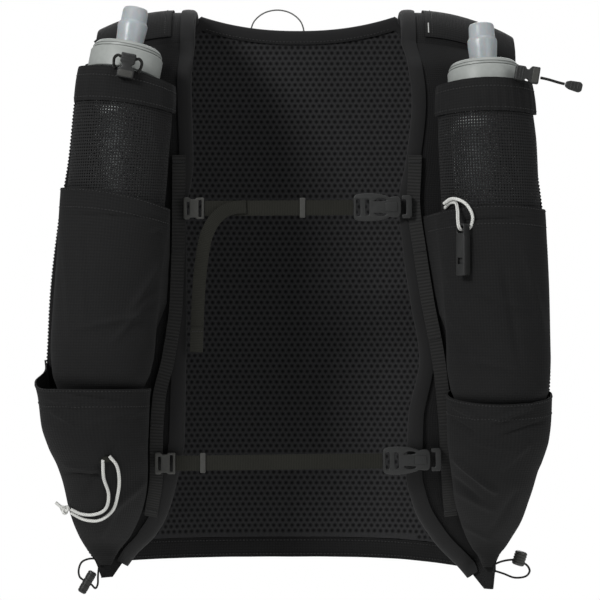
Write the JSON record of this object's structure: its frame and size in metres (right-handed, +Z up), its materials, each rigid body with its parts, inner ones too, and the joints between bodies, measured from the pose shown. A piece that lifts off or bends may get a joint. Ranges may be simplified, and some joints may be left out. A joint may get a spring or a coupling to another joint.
{
  "type": "running hydration vest",
  "caption": "Black running vest with a dimpled back panel, open-fronted harness, pockets over two soft flasks with bite valves, and clipped chest straps.",
  "frame": {"origin": "midline of the vest at shoulder height, where it rests on its wearer: midway between the two shoulder straps, level with the neckline", "axes": "+Z up, -Y out of the vest's front, +X to the right of the front view (the wearer's left)"},
  "size_m": [0.3942, 0.241, 0.445],
  "materials": {
    "spacer": "matt black spacer mesh with round dimples",
    "pocket": "black stretch weave, slightly sheened",
    "binding": "smooth black elastic binding",
    "panel": "matt black knitted mesh",
    "grey_cord": "grey braided elastic",
    "webbing": "ribbed dark olive webbing",
    "sleeve": "open black mesh",
    "flask": "clear soft film, satin",
    "cap": "grey, satin",
    "valve": "translucent silicone",
    "plastic": "dark grey acetal, satin",
    "white_cord": "white braided cord"
  },
  "bodies": {
    "vest": {"back_panel": "spacer", "hem_band": "pocket", "rear_bag": "pocket", "shoulder_yoke_left": "pocket", "shoulder_yoke_right": "pocket", "sleeve_hem_left": "pocket", "sleeve_hem_right": "pocket", "middle_pocket_left": "pocket", "middle_pocket_right": "pocket", "lower_pocket_left": "pocket", "lower_pocket_right": "pocket", "neck_binding": "binding", "rear_bag_hem": "binding", "edge_binding_left": "binding", "edge_binding_right": "binding", "shoulder_strap_left": "panel", "shoulder_strap_right": "panel", "front_panel_left": "panel", "front_panel_right": "panel", "hang_loop": "grey_cord", "pull_cord_right": "grey_cord", "side_cord_left": "grey_cord", "side_cord_right": "grey_cord", "shoulder_tab_left": "webbing", "rail_tape_left": "webbing", "rail_tape_right": "webbing", "chest_strap_upper": "webbing", "chest_strap_lower": "webbing", "strap_tail": "webbing", "flask_sleeve_left": "sleeve", "flask_sleeve_right": "sleeve", "flask_left": "flask", "flask_right": "flask", "flask_cap_left": "cap", "flask_cap_right": "cap", "rail_hook_upper": "plastic", "rail_hook_lower": "plastic", "keeper_upper": "plastic", "keeper_lower": "plastic", "buckle_clip_upper": "plastic", "buckle_clip_lower": "plastic", "buckle_socket_upper": "plastic", "buckle_socket_lower": "plastic", "whistle": "plastic", "cord_lock_left": "plastic", "cord_lock_right": "plastic", "pull_end_right": "plastic", "side_lock_left": "plastic", "side_lock_right": "plastic", "whistle_cord": "white_cord", "pocket_cord_a": "white_cord", "pocket_cord_b": "white_cord", "pocket_cord_knot": "white_cord"},
    "valve_left": {"bite_valve_left": "valve"},
    "valve_right": {"bite_valve_right": "valve"}
  },
  "joints": [
    {"name": "valve_left_twist", "type": "hinge", "parent": "vest", "child": "valve_left", "pos_m": [-0.1228, -0.07752, -0.0257], "axis": [0.1778, 0.1856, 0.9664], "range_deg": [0, 90]},
    {"name": "valve_right_twist", "type": "hinge", "parent": "vest", "child": "valve_right", "pos_m": [0.13448, -0.07931, -0.03772], "axis": [-0.0464, 0.1795, 0.9827], "range_deg": [0, 90]}
  ]
}
